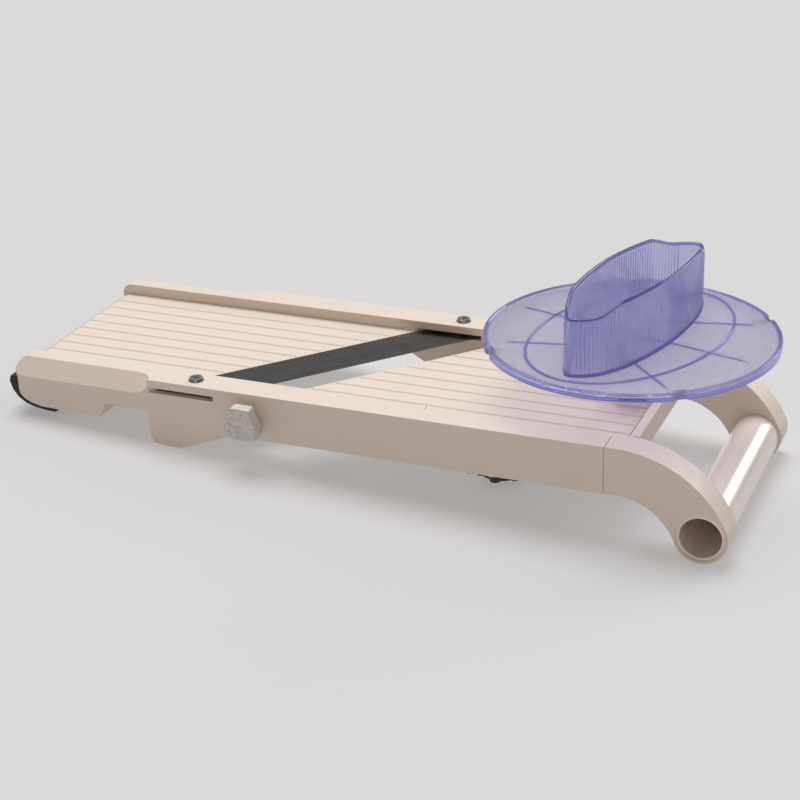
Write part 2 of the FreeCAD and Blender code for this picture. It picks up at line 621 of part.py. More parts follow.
def build_feed_bed():
    """Grooved feed bed with side skirts, ribs and bosses for the thickness screws."""
    y0 = RAIL_W + FEED_GAP
    y1 = FAR_IN - FEED_GAP
    front = [(slanted(FEED_EDGE, y1), y1), (slanted(FEED_EDGE, y0), y0)]
    plate = plan_prism(front + [(FEED_END_X, y0), (FEED_END_X, y1)], FEED_Z - FEED_T, FEED_Z)
    skirts = [box(slanted(FEED_EDGE, y0) + 10, 0, y0, y0 + SKIRT_T, SKIRT_Z, FEED_Z - FEED_T),
              box(slanted(FEED_EDGE, y1) + 6, 0, y1 - SKIRT_T, y1, SKIRT_Z, FEED_Z - FEED_T)]
    ribs = []
    for y in FEED_RIB_Y:
        ribs.append(box(slanted(FEED_EDGE, y) + 12, 0, y - FEED_RIB_T / 2, y + FEED_RIB_T / 2,
                        FEED_RIB_Z, FEED_Z - FEED_T))
    cross = slant_prism(FEED_EDGE + 10, FEED_EDGE + 13, y0, y1, FEED_RIB_Z, FEED_Z - FEED_T)
    bosses = [rod(FEED_BOSS_R, (THICK_X, y, FEED_BOSS_Z), (THICK_X, y, FEED_Z - 1)) for y in THICK_Y]
    pin_bosses = []
    for x, near in feed_pin_spots():
        edge = y0 if near else y1 - PIN_IN - 1
        pin_bosses.append(box(x - 4, x + 4, edge, edge + PIN_IN + 1, SKIRT_Z, FEED_Z - FEED_T))
    bed = joined([plate] + skirts + ribs + [cross] + bosses + pin_bosses)
    cuts = grooves(FEED_Z, lambda y: slanted(FEED_EDGE, y) + 1.5, lambda y: FEED_GROOVE_END)
    lip = [(FEED_EDGE - 1, FEED_Z - FEED_T - 0.01), (FEED_EDGE + FEED_LIP, FEED_Z - FEED_T - 0.01),
           (FEED_EDGE, FEED_Z - FEED_LIP_T), (FEED_EDGE - 1, FEED_Z - FEED_LIP_T)]
    lip_corners = [V(slanted(x, 0), 0, z) for x, z in lip]
    lip_face = Part.Face(Part.makePolygon(lip_corners + lip_corners[:1]))
    cuts.append(lip_face.extrude(V(SLANT * TOTAL_W, TOTAL_W, 0)))
    for y in THICK_Y:
        cuts.append(rod(FLANGE_BORE_R, (THICK_X, y, -30), (THICK_X, y, FLANGE_BORE_TOP)))
    for x, near in feed_pin_spots():
        start, end = feed_pin_span(near)
        cuts.append(rod(PIN_R, (x, start, PIN_Z), (x, end, PIN_Z)))
    return without(bed, cuts)


def feed_pin_spots():
    """X of each guide pin, and whether it is on the near side."""
    return [(x, True) for x in PIN_NEAR_X] + [(x, False) for x in PIN_FAR_X]


def feed_pin_span(near):
    """Y of a guide pin's buried end and of its free end."""
    if near:
        return RAIL_W + FEED_GAP + PIN_IN, RAIL_W - PIN_OUT
    return FAR_IN - FEED_GAP - PIN_IN, FAR_IN + PIN_OUT


def build_guide_pins():
    """Four steel pins in the feed bed's skirts."""
    pins = []
    for x, near in feed_pin_spots():
        start, end = feed_pin_span(near)
        pins.append(rod(PIN_R, (x, start, PIN_Z), (x, end, PIN_Z)))
    return Part.makeCompound(pins)


def build_clips():
    """Two slotted clip plates that hold the thickness screws up in the feed bed."""
    clips = []
    half = CLIP_SIZE / 2
    for y in THICK_Y:
        plate = box(THICK_X - half, THICK_X + half, y - half, y + half, FEED_BOSS_Z - CLIP_T, FEED_BOSS_Z)
        slot = box(THICK_X, THICK_X + half + 1, y - CLIP_SLOT / 2, y + CLIP_SLOT / 2, -30, 0)
        clips.append(plate.cut([slot, rod(CLIP_SLOT / 2, (THICK_X, y, -30), (THICK_X, y, 0))]))
    return Part.makeCompound(clips)


def build_thickness_screw(y):
    """Thickness screw: flange held in the feed bed, neck, and threaded shank down into the knob."""
    flange = rod(FLANGE_R, (THICK_X, y, FLANGE_BOTTOM), (THICK_X, y, FLANGE_TOP))
    neck = rod(NECK_R, (THICK_X, y, FEED_BOSS_Z - CLIP_T - 0.4), (THICK_X, y, FLANGE_TOP))
    shank = rod(THREAD_R, (THICK_X, y, THICK_SCREW_END), (THICK_X, y, FEED_BOSS_Z - CLIP_T - 0.3))
    return joined([flange, neck, shank])


def build_thickness_knob(y):
    """Small lobed knob on the foot of a thickness screw."""
    parts = [rod(KNOB_R, (THICK_X, y, KNOB_BOTTOM), (THICK_X, y, KNOB_TOP))]
    for k in range(KNOB_LOBES):
        angle = math.radians(360 / KNOB_LOBES * (k + 0.5))
        x = THICK_X + KNOB_R * math.cos(angle)
        lobe_y = y + KNOB_R * math.sin(angle)
        parts.append(rod(KNOB_LOBE_R, (x, lobe_y, KNOB_BOTTOM), (x, lobe_y, KNOB_TOP)))
    parts.append(rod(KNOB_HUB_R, (THICK_X, y, KNOB_TOP), (THICK_X, y, KNOB_TOP + KNOB_HUB_T)))
    return without(joined(parts), [rod(THREAD_R, (THICK_X, y, THICK_SCREW_END), (THICK_X, y, 0))])


def build_side_insert():
    """Threaded brass insert in the near rail's outer wall."""
    sleeve = rod(SIDE_INSERT_R, (SIDE_X, 0, SIDE_Z), (SIDE_X, SIDE_INSERT_END, SIDE_Z))
    return sleeve.cut(rod(SIDE_BORE_R, (SIDE_X, -1, SIDE_Z), (SIDE_X, SIDE_INSERT_END + 1, SIDE_Z)))


def build_side_shank():
    """Threaded shank of the side screw, with a flanged tip held in the shoe."""
    thread = rod(SIDE_THREAD_R, (SIDE_X, SIDE_THREAD_START, SIDE_Z), (SIDE_X, SHOE_Y[0] - 0.2, SIDE_Z))
    neck = rod(SIDE_NECK_R, (SIDE_X, 0, SIDE_Z), (SIDE_X, SIDE_FLANGE_Y[1], SIDE_Z))
    flange = rod(SIDE_FLANGE_R, (SIDE_X, SIDE_FLANGE_Y[0], SIDE_Z), (SIDE_X, SIDE_FLANGE_Y[1], SIDE_Z))
    return joined([thread, neck, flange])


def build_side_knob():
    """Cast knob with six uneven flats, narrower at the top, on a round hub."""
    block = side_prism([(SIDE_X + x, SIDE_Z + z) for x, z in SIDE_KNOB_OUTLINE], SIDE_KNOB_FACE, SIDE_KNOB_BACK)
    upright = [e for e in block.Edges if abs(e.Vertexes[0].Y - e.Vertexes[1].Y) > 1]
    block = block.makeFillet(1.8, upright)
    block = block.makeFillet(0.9, [e for e in block.Edges if e.BoundBox.YMax < SIDE_KNOB_FACE + 0.01])
    hub = rod(SIDE_KNOB_HUB_R, (SIDE_X, SIDE_KNOB_BACK - 1, SIDE_Z), (SIDE_X, SIDE_HUB_END, SIDE_Z))
    hole = rod(SIDE_THREAD_R, (SIDE_X, SIDE_THREAD_START, SIDE_Z), (SIDE_X, 3, SIDE_Z))
    return joined([block, hub]).cut(hole)


def build_shoe():
    """Clamp shoe pushed by the side screw, with a slot that takes the screw's flange."""
    y0, y1 = SHOE_Y
    high = SIDE_Z + SHOE_HALF_H
    low = SIDE_Z - SHOE_HALF_H
    shoe = box(SIDE_X - SHOE_HALF_W, SIDE_X + SHOE_HALF_W, y0, y1, low, high)
    cuts = []
    flange_y = (SIDE_FLANGE_Y[0] - SHOE_RUN, SIDE_FLANGE_Y[1] + SHOE_RUN)
    for radius, start, end in ((SIDE_NECK_R, y0 - 1, SIDE_FLANGE_Y[0]), (SIDE_FLANGE_R, flange_y[0], flange_y[1])):
        half = radius + SHOE_RUN
        cuts.append(rod(half, (SIDE_X, start, SIDE_Z), (SIDE_X, end, SIDE_Z)))
        cuts.append(box(SIDE_X - half, SIDE_X + half, start, end, low - 1, SIDE_Z))
    return without(shoe, cuts)


def grip_outline(inset):
    """Closed skewed lens of the grip, as board X and Y, moved inwards by the inset."""
    side = list(GRIP_SIDE)
    ring = side + [(-u, -v) for u, v in side]
    count = len(ring)
    moved = []
    for k in range(count):
        before = ring[k - 1]
        after = ring[(k + 1) % count]
        along_u = after[0] - before[0]
        along_v = after[1] - before[1]
        length = math.hypot(along_u, along_v)
        moved.append((ring[k][0] + inset * along_v / length, ring[k][1] - inset * along_u / length))
    turn = math.radians(GRIP_ANGLE)
    points = []
    for u, v in moved:
        points.append((GRIP_X + u * math.cos(turn) + v * math.sin(turn),
                       GRIP_Y + u * math.sin(turn) - v * math.cos(turn)))
    return points


def lens_prism(inset, z0, z1):
    """Upright prism on the grip's outline."""
    curve = Part.BSplineCurve()
    curve.interpolate([V(x, y, z0) for x, y in grip_outline(inset)], PeriodicFlag=True)
    return Part.Face(Part.Wire(curve.toShape())).extrude(V(0, 0, z1 - z0))


def grip_top_cutter():
    """Everything above the grip's stepped top edge."""
    turn = math.radians(GRIP_ANGLE)
    reach = 30
    curve = Part.BSplineCurve()
    points = []
    for u, height in GRIP_TOP:
        x = GRIP_X + u * math.cos(turn) - reach * math.sin(turn)
        y = GRIP_Y + u * math.sin(turn) + reach * math.cos(turn)
        points.append(V(x, y, GUARD_TOP + height))
    curve.interpolate(points)
    rise = V(0, 0, 20)
    first = points[0]
    last = points[-1]
    edges = [curve.toShape(), Part.makeLine(last, last + rise), Part.makeLine(last + rise, first + rise),
             Part.makeLine(first + rise, first)]
    face = Part.Face(Part.Wire(edges))
    return face.extrude(V(2 * reach * math.sin(turn), -2 * reach * math.cos(turn), 0))


def oval(a, b, z0, z1):
    """Upright elliptical prism centred on the guard, its long axis along the grip."""
    turn = math.radians(GRIP_ANGLE)
    ellipse = Part.Ellipse(V(0, 0, 0), a, b)
    face = Part.Face(Part.Wire(ellipse.toShape()))
    face.rotate(V(0, 0, 0), V(0, 0, 1), GRIP_ANGLE)
    face.translate(V(GUARD_X, MID_Y, z0))
    return face.extrude(V(0, 0, z1 - z0))


def carrier_screw_spots():
    """X and Y of the screws that hold the pin carrier."""
    spots = []
    for k in range(CARRIER_SCREWS):
        angle = math.radians(90 + 360 / CARRIER_SCREWS * k)
        spots.append((GUARD_X + CARRIER_SCREW_RING_R * math.cos(angle),
                      CARRIER_Y + CARRIER_SCREW_RING_R * math.sin(angle)))
    return spots


def build_guard():
    """Hand guard: rimmed disc with an oval ridge and a hollow open-topped grip, in one moulding."""
    low = GUARD_TOP - LIP_H
    disc = rod(GUARD_R, (GUARD_X, MID_Y, low), (GUARD_X, MID_Y, GUARD_TOP))
    under = rod(GUARD_R - LIP_T, (GUARD_X, MID_Y, low - 1), (GUARD_X, MID_Y, GUARD_TOP - GUARD_T))
    bead = rod(GUARD_R, (GUARD_X, MID_Y, GUARD_TOP - 0.5), (GUARD_X, MID_Y, GUARD_TOP + RIM_BEAD_H))
    bead = bead.cut(rod(GUARD_R - RIM_BEAD_W, (GUARD_X, MID_Y, low), (GUARD_X, MID_Y, GUARD_TOP + 5)))
    half = OVAL_W / 2
    ridge = oval(OVAL_A + half, OVAL_B + half, GUARD_TOP - 0.5, GUARD_TOP + OVAL_H)
    ridge = ridge.cut(oval(OVAL_A - half, OVAL_B - half, GUARD_TOP - 1, GUARD_TOP + 5))
    wall = lens_prism(0, GUARD_TOP - 0.5, GUARD_TOP + 45)
    wall = wall.cut([lens_prism(GRIP_WALL, GUARD_TOP - 1, GUARD_TOP + 50), grip_top_cutter()])
    bosses = []
    for x, y in carrier_screw_spots():
        boss = rod(CARRIER_BOSS_R, (x, y, CARRIER_FLANGE_Z + CARRIER_FLANGE_T), (x, y, GUARD_TOP - 1))
        bosses.append(boss.cut(rod(CARRIER_SCREW_R, (x, y, 0), (x, y, GUARD_TOP - GUARD_T))))
    guard = joined([disc.cut(under), bead, ridge, wall] + bosses)
    notches = []
    for k in range(4):
        notch = box(GUARD_R - NOTCH_IN, GUARD_R + 2, -NOTCH_W / 2, NOTCH_W / 2, 0, GUARD_TOP - 1.2)
        notch.rotate(V(0, 0, 0), V(0, 0, 1), NOTCH_ANGLE + 90 * k)
        notches.append(notch.translated(V(GUARD_X, MID_Y, 0)))
    return without(guard, notches)


def food_pin_spots():
    """X and Y of the food pins: one in the middle and a ring round it."""
    spots = [(GUARD_X, CARRIER_Y)]
    for k in range(FOOD_PINS):
        angle = math.radians(360 / FOOD_PINS * k)
        spots.append((GUARD_X + FOOD_PIN_RING_R * math.cos(angle),
                      CARRIER_Y + FOOD_PIN_RING_R * math.sin(angle)))
    return spots


def build_carrier():
    """Stemmed carrier below the guard that holds the food pins."""
    flange_top = CARRIER_FLANGE_Z + CARRIER_FLANGE_T
    low, high = CARRIER_PLATE_Z
    flange = rod(CARRIER_FLANGE_R, (GUARD_X, CARRIER_Y, CARRIER_FLANGE_Z), (GUARD_X, CARRIER_Y, flange_top))
    stem = rod(CARRIER_STEM_R, (GUARD_X, CARRIER_Y, low), (GUARD_X, CARRIER_Y, flange_top))
    plate = rod(CARRIER_PLATE_R, (GUARD_X, CARRIER_Y, low), (GUARD_X, CARRIER_Y, high))
    cuts = [rod(CARRIER_STEM_BORE_R, (GUARD_X, CARRIER_Y, high), (GUARD_X, CARRIER_Y, 40))]
    for x, y in carrier_screw_spots():
        cuts.append(rod(CARRIER_SCREW_R, (x, y, CARRIER_FLANGE_Z - 1), (x, y, flange_top + 1)))
    for x, y in food_pin_spots():
        cuts.append(rod(FOOD_PIN_R, (x, y, -10), (x, y, FOOD_PIN_TOP)))
    return without(joined([flange, stem, plate]), cuts)


def build_food_pins():
    """Pointed steel pins that hold the food."""
    pins = []
    for x, y in food_pin_spots():
        shank = rod(FOOD_PIN_R, (x, y, FOOD_PIN_TIP_Z + FOOD_PIN_POINT), (x, y, FOOD_PIN_TOP))
        point = Part.makeCone(0.1, FOOD_PIN_R, FOOD_PIN_POINT, V(x, y, FOOD_PIN_TIP_Z))
        pins.append(shank.fuse(point).removeSplitter())
    return Part.makeCompound(pins)


def build_carrier_screws():
    """Screws that hold the carrier to the guard."""
    screws = []
    for x, y in carrier_screw_spots():
        head = rod(CARRIER_HEAD_R, (x, y, CARRIER_FLANGE_Z - CARRIER_HEAD_H), (x, y, CARRIER_FLANGE_Z))
        shank = rod(CARRIER_SCREW_R, (x, y, CARRIER_FLANGE_Z - 0.4), (x, y, GUARD_TOP - GUARD_T - 0.4))
        slot = box(x - 1.5, x + 1.5, y - 0.3, y + 0.3, CARRIER_FLANGE_Z - 2, CARRIER_FLANGE_Z - 0.8)
        screws.append(head.fuse(shank).cut(slot))
    return Part.makeCompound(screws)


pad = build_pad()
pieces = {
    "body_frame": build_body_frame().cut(pad),
    "handle_frame": build_handle_frame(),
    "handle_tube": build_tube(),
    "nose_pad": pad,
    "slicing_blade": build_blade(),
    "blade_screws": build_blade_screws(),
    "blade_nuts": build_blade_nuts(),
    "handle_joint_screws": build_joint_screws(),
    "bed_bridge": build_bridge(),
    "bridge_screws": build_bridge_screws(),
    "thickness_inserts": build_inserts(),
    "side_screw_insert": build_side_insert(),
    "feed_bed": build_feed_bed(),
    "bed_guide_pins": build_guide_pins(),
    "screw_clips": build_clips(),
    "thickness_screw_near": build_thickness_screw(THICK_Y[0]),
    "thickness_knob_near": build_thickness_knob(THICK_Y[0]),
    "thickness_screw_far": build_thickness_screw(THICK_Y[1]),
    "thickness_knob_far": build_thickness_knob(THICK_Y[1]),
    "clamp_shoe": build_shoe(),
    "side_screw_shank": build_side_shank(),
    "side_knob": build_side_knob(),
    "hand_guard": build_guard(),
    "guard_pin_carrier": build_carrier(),
    "guard_food_pins": build_food_pins(),
    "carrier_screws": build_carrier_screws(),
}

# Lean the slicer onto the table and put the origin below the middle of its outline
standing = {}
for name, shape in pieces.items():
    leaned = shape.copy()
    leaned.rotate(V(0, 0, 0), V(0, 1, 0), -math.degrees(lean))
    standing[name] = leaned
limits = [shape.optimalBoundingBox(False) for shape in standing.values()]
shift = V(-(min(b.XMin for b in limits) + max(b.XMax for b in limits)) / 2,
          -(min(b.YMin for b in limits) + max(b.YMax for b in limits)) / 2,
          -min(b.ZMin for b in limits))
os.makedirs("parts", exist_ok=True)
for name, shape in standing.items():
    shape.translated(shift).exportStep("parts/" + name + ".step")
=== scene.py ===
import json
import math

import bmesh
import bpy
from mathutils import Matrix, Vector


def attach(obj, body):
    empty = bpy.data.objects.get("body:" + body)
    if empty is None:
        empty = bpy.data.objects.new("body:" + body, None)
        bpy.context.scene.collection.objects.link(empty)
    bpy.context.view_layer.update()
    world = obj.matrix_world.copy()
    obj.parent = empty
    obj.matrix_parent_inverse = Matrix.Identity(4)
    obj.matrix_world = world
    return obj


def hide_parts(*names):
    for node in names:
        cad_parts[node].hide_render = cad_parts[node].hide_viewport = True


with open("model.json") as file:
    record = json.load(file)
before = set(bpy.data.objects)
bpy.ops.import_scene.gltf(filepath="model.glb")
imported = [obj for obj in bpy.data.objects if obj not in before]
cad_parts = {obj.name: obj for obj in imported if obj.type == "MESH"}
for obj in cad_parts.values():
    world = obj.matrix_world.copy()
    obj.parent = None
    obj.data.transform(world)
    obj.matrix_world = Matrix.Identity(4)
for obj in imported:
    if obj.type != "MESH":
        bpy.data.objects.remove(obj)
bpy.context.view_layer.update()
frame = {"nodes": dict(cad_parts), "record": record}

MM = 0.001

# ---------------------------------------------------------------- board frame
# The slicer leans on the table, so most pieces are placed in the board's own
# frame: X along the rails, Y across, Z off the beds, in millimetres.
joints = {j["name"]: j for j in frame["record"]["behaviour"]["joints"]}
mounts = {m["name"]: m for m in frame["record"]["mounts"]}
ALONG = Vector(joints["guard_stroke"]["axis"]).normalized()
NORMAL = Vector(joints["thickness_adjust"]["axis"]).normalized()
ACROSS = NORMAL.cross(ALONG)
# The middle of the handle tube, whose place in the scene the record gives
TUBE_AT = Vector((45.1, 64.05, -38.2))
TUBE_OFFSET = (ALONG * TUBE_AT.x + ACROSS * TUBE_AT.y + NORMAL * TUBE_AT.z) * MM
ORIGIN = Vector(mounts["handle_bore"]["pos_m"]) - TUBE_OFFSET


def at(x, y, z):
    """Point of the board frame, in millimetres, as scene coordinates."""
    return ORIGIN + (ALONG * x + ACROSS * y + NORMAL * z) * MM


def way(x, y, z):
    """Direction of the board frame as a scene direction."""
    return ALONG * x + ACROSS * y + NORMAL * z


# ---------------------------------------------------------------- camera
# Where the camera is, where it looks and which way is up, in the board frame
CAMERA_AT = (213.8, -742.4, 375.35)
CAMERA_LOOK = (-0.35249, 0.83915, -0.41422)
CAMERA_UP = (-0.13354, 0.39299, 0.90979)
LENS = 86.17
scene = bpy.context.scene
eye = at(*CAMERA_AT)
look = way(*CAMERA_LOOK).normalized()
side = look.cross(way(*CAMERA_UP)).normalized()
up = side.cross(look)
camera = bpy.data.cameras.new("camera")
camera.sensor_width = 36.0
camera.lens = LENS
camera.clip_start = 0.01
camera.clip_end = 100.0
camera_object = bpy.data.objects.new("camera", camera)
camera_object.matrix_world = Matrix((
    (side.x, up.x, -look.x, eye.x), (side.y, up.y, -look.y, eye.y),
    (side.z, up.z, -look.z, eye.z), (0, 0, 0, 1)))
scene.collection.objects.link(camera_object)
scene.camera = camera_object

# ---------------------------------------------------------------- light and floor
FLOOR_HALF = 12.0
scene.view_settings.view_transform = "Standard"
scene.cycles.transparent_max_bounces = 24
world = bpy.data.worlds.new("studio")
world.use_nodes = True
world.node_tree.nodes["Background"].inputs["Color"].default_value = (1.0, 0.95, 0.90, 1)
world.node_tree.nodes["Background"].inputs["Strength"].default_value = 0.20
scene.world = world


def soft_sun(name, energy, spread, colour, towards):
    """Distant light with a wide disc, shining from a direction."""
    light = bpy.data.lights.new(name, "SUN")
    light.energy = energy
    light.angle = math.radians(spread)
    light.color = colour
    holder = bpy.data.objects.new(name, light)
    holder.rotation_euler = Vector(towards).to_track_quat("Z", "Y").to_euler()
    scene.collection.objects.link(holder)


soft_sun("key", 2.62, 42, (1.0, 0.99, 0.985), (-0.24, 0.32, 1.0))
soft_sun("back", 0.62, 24, (1.0, 1.0, 1.0), (0.34, 0.84, 0.43))
soft_sun("fill", 0.24, 30, (1.0, 0.62, 0.44), (0.25, -1.0, 0.35))


def srgb(r, g, b, a=1.0):
    """Linear colour from 0 to 255 display values."""
    def linear(v):
        v = v / 255
        return v / 12.92 if v <= 0.04045 else ((v + 0.055) / 1.055) ** 2.4
    return (linear(r), linear(g), linear(b), a)


# ---------------------------------------------------------------- material helpers
class Nodes:
    """Small wrapper that builds one material's node tree."""

    def __init__(self, name):
        self.material = bpy.data.materials.new(name)
        self.material.use_nodes = True
        self.tree = self.material.node_tree
        self.tree.nodes.clear()
        self.output = self.tree.nodes.new("ShaderNodeOutputMaterial")

    def add(self, kind, **values):
        """New node; keyword values are its attributes, and `inputs` sets or links its sockets."""
        node = self.tree.nodes.new("ShaderNode" + kind)
        inputs = values.pop("inputs", {})
        for key, value in values.items():
            setattr(node, key, value)
        for key, value in inputs.items():
            self.put(node.inputs[key], value)
        return node

    def put(self, socket, value):
        """Links an output socket, or sets a plain value."""
        if isinstance(value, bpy.types.NodeSocket):
            self.tree.links.new(value, socket)
        else:
            socket.default_value = value

    def place(self, stretch=(1, 1, 1)):
        """Object coordinates in millimetres, stretched."""
        coords = self.add("TexCoord")
        mapping = self.add("Mapping", inputs={"Vector": coords.outputs["Object"],
                                              "Scale": [s / MM for s in stretch]})
        return mapping.outputs["Vector"]

    def noise(self, size, detail=2.0, stretch=(1, 1, 1), rough=0.5):
        """Noise whose blobs are about `size` millimetres."""
        node = self.add("TexNoise", inputs={"Vector": self.place(stretch), "Scale": 1.0 / size,
                                            "Detail": detail, "Roughness": rough})
        return node.outputs["Fac"]

    def span(self, value, low, high, to_low, to_high):
        """Maps one range of a value to another, clamped."""
        node = self.add("MapRange", inputs={"Value": value, "From Min": low, "From Max": high,
                                            "To Min": to_low, "To Max": to_high})
        return node.outputs["Result"]

    def blend(self, factor, a, b):
        """Mix of two colours."""
        node = self.add("Mix", data_type="RGBA")
        self.put(node.inputs["Factor"], factor)
        self.put(node.inputs[6], a)
        self.put(node.inputs[7], b)
        return node.outputs[2]

    def combine(self, a, b, operation="ADD"):
        """Two values put together by a maths operation."""
        node = self.add("Math", operation=operation)
        self.put(node.inputs[0], a)
        self.put(node.inputs[1], b)
        return node.outputs[0]

    def bump(self, height, depth_mm, strength=1.0, normal=None):
        """Bump from a height value."""
        node = self.add("Bump", inputs={"Height": height, "Distance": depth_mm * MM,
                                        "Strength": strength})
        if normal is not None:
            self.put(node.inputs["Normal"], normal)
        return node.outputs["Normal"]

    def round_edges(self, radius_mm):
        """Normal that softens sharp edges."""
        return self.add("Bevel", samples=4, inputs={"Radius": radius_mm * MM}).outputs["Normal"]

    def finish(self, **inputs):
        """Principled surface with these inputs."""
        shader = self.add("BsdfPrincipled")
        for key, value in inputs.items():
            self.put(shader.inputs[key.replace("_", " ")], value)
        self.tree.links.new(shader.outputs["BSDF"], self.output.inputs["Surface"])
        return self.material


def moulded_plastic(name, light, dark, roughness):
    """Start of a moulded plastic: faint colour drift, fine grain in bump and gloss, soft edges."""
    n = Nodes(name)
    drift = n.span(n.noise(28.0, 3.0), 0.35, 0.65, 0.0, 1.0)
    speck = n.span(n.noise(0.9, 2.0), 0.3, 0.7, 0.0, 0.35)
    colour = n.blend(n.combine(drift, speck, "MULTIPLY"), light, dark)
    rough = n.span(n.noise(7.0, 4.0), 0.3, 0.7, roughness - 0.05, roughness + 0.07)
    fine = n.noise(0.35, 3.0)
    return n, colour, rough, n.bump(fine, 0.006, 0.6, n.round_edges(0.35))


def frame_plastic():
    """Satin beige plastic of the board; its long chamfers carry fine lengthwise streaks."""
    n, colour, rough, normal = moulded_plastic("board_plastic", srgb(231, 219, 207),
                                               srgb(222, 207, 193), 0.46)
    facing = n.add("NewGeometry").outputs["True Normal"]
    parts = n.add("SeparateXYZ", inputs={"Vector": facing})
    slope = n.combine(parts.outputs["Y"], parts.outputs["Y"], "MULTIPLY")
    on_chamfer = n.combine(n.span(slope, 0.42, 0.46, 0, 1), n.span(slope, 0.60, 0.64, 1, 0),
                           "MULTIPLY")
    streaks = n.noise(0.5, 4.0, (0.04, 1.0, 1.0), 0.7)
    height = n.combine(streaks, on_chamfer, "MULTIPLY")
    return n.finish(Base_Color=colour, Roughness=rough, Normal=n.bump(height, 0.10, 0.8, normal))


def tube_plastic():
    """Glossy tube with drawn lines along it and a faint waviness."""
    n = Nodes("tube_gloss")
    drift = n.span(n.noise(20.0, 2.0, (1, 0.2, 1)), 0.35, 0.65, 0, 1)
    colour = n.blend(drift, srgb(243, 234, 226), srgb(236, 224, 214))
    lines = n.noise(0.8, 4.0, (1.0, 0.012, 1.0), 0.6)
    waves = n.noise(9.0, 1.0, (1.0, 0.25, 1.0))
    rough = n.span(lines, 0.35, 0.65, 0.20, 0.34)
    normal = n.bump(waves, 0.25, 0.5, n.bump(lines, 0.03, 0.7, n.round_edges(0.3)))
    return n.finish(Base_Color=colour, Roughness=rough, Normal=normal, Coat_Weight=0.9,
                    Coat_Roughness=0.16)


def rubber():
    """Matt black rubber with a fine grain."""
    n = Nodes("nose_rubber")
    colour = n.blend(n.span(n.noise(3.0, 3.0), 0.3, 0.7, 0, 1), srgb(26, 26, 27), srgb(44, 43, 43))
    rough = n.span(n.noise(1.5, 2.0), 0.3, 0.7, 0.55, 0.75)
    normal = n.bump(n.noise(0.4, 3.0), 0.03, 0.8, n.round_edges(0.4))
    return n.finish(Base_Color=colour, Roughness=rough, Normal=normal)


# Turn, in degrees, that brings the blade's grinding lines in line with a texture axis
BLADE_LINES_AT = -49.2


def blade_steel():
    """Dark ground blade steel: lines across the blade and cloudy oxide shades."""
    n = Nodes("blade_steel")
    coords = n.add("TexCoord")
    turned = n.add("Mapping", inputs={"Vector": coords.outputs["Object"],
                                      "Rotation": (0, 0, math.radians(BLADE_LINES_AT))})
    lined = n.add("Mapping", inputs={"Vector": turned.outputs["Vector"], "Scale": (30, 1900, 1000)})
    drawn = n.add("TexNoise", inputs={"Vector": lined.outputs["Vector"], "Scale": 1.0, "Detail": 3.0})
    lines = drawn.outputs["Fac"]
    cloud = n.span(n.noise(16.0, 4.0, (1, 1, 1), 0.6), 0.35, 0.65, 0, 1)
    colour = n.blend(cloud, srgb(128, 129, 131), srgb(138, 139, 141))
    colour = n.blend(n.span(lines, 0.3, 0.7, 0, 0.35), colour, srgb(108, 109, 111))
    rough = n.span(lines, 0.3, 0.7, 0.20, 0.32)
    normal = n.bump(lines, 0.01, 0.6, n.round_edges(0.12))
    return n.finish(Base_Color=colour, Metallic=1.0, Roughness=rough, Normal=normal)


def zinc():
    """Zinc-plated steel: bright, slightly blue, with small dull patches."""
    n = Nodes("zinc_plate")
    patch = n.span(n.noise(1.1, 4.0), 0.35, 0.65, 0, 1)
    colour = n.blend(patch, srgb(196, 199, 204), srgb(140, 143, 152))
    rough = n.span(patch, 0, 1, 0.24, 0.42)
    normal = n.bump(n.noise(0.5, 3.0), 0.01, 0.6, n.round_edges(0.15))
    return n.finish(Base_Color=colour, Metallic=1.0, Roughness=rough, Normal=normal)


def cast_metal():
    """Rough die-cast grey metal with pits, whose colour darkens in them as painted shade."""
    n = Nodes("cast_grey_metal")
    patch = n.span(n.noise(2.2, 5.0, (1, 1, 1), 0.65), 0.3, 0.7, 0, 1)
    pit_depth_and_shade = n.span(n.noise(1.0, 5.0, (1, 1, 1), 0.75), 0.30, 0.55, 0, 1)
    colour = n.blend(patch, srgb(232, 229, 224), srgb(196, 192, 187))
    # Colour darkens where the pits sink: painted shade in the hollows
    colour = n.blend(n.span(pit_depth_and_shade, 0.0, 0.6, 0.65, 0.0), colour, srgb(88, 84, 82))
    rough = n.span(patch, 0, 1, 0.42, 0.6)
    normal = n.bump(pit_depth_and_shade, 0.16, 0.8, n.round_edges(0.6))
    return n.finish(Base_Color=colour, Metallic=0.45, Roughness=rough, Normal=normal)


def brass():
    """Turned brass."""
    n = Nodes("turned_brass")
    colour = n.blend(n.noise(1.5, 3.0), srgb(214, 180, 104), srgb(176, 140, 74))
    rough = n.span(n.noise(0.6, 2.0), 0.3, 0.7, 0.2, 0.36)
    return n.finish(Base_Color=colour, Metallic=1.0, Roughness=rough, Normal=n.round_edges(0.15))


def dark_plastic():
    """Near-black moulded plastic of the small knobs and the shoe."""
    n, colour, rough, normal = moulded_plastic("dark_plastic", srgb(52, 51, 52), srgb(38, 37, 38), 0.42)
    return n.finish(Base_Color=colour, Roughness=rough, Normal=normal)


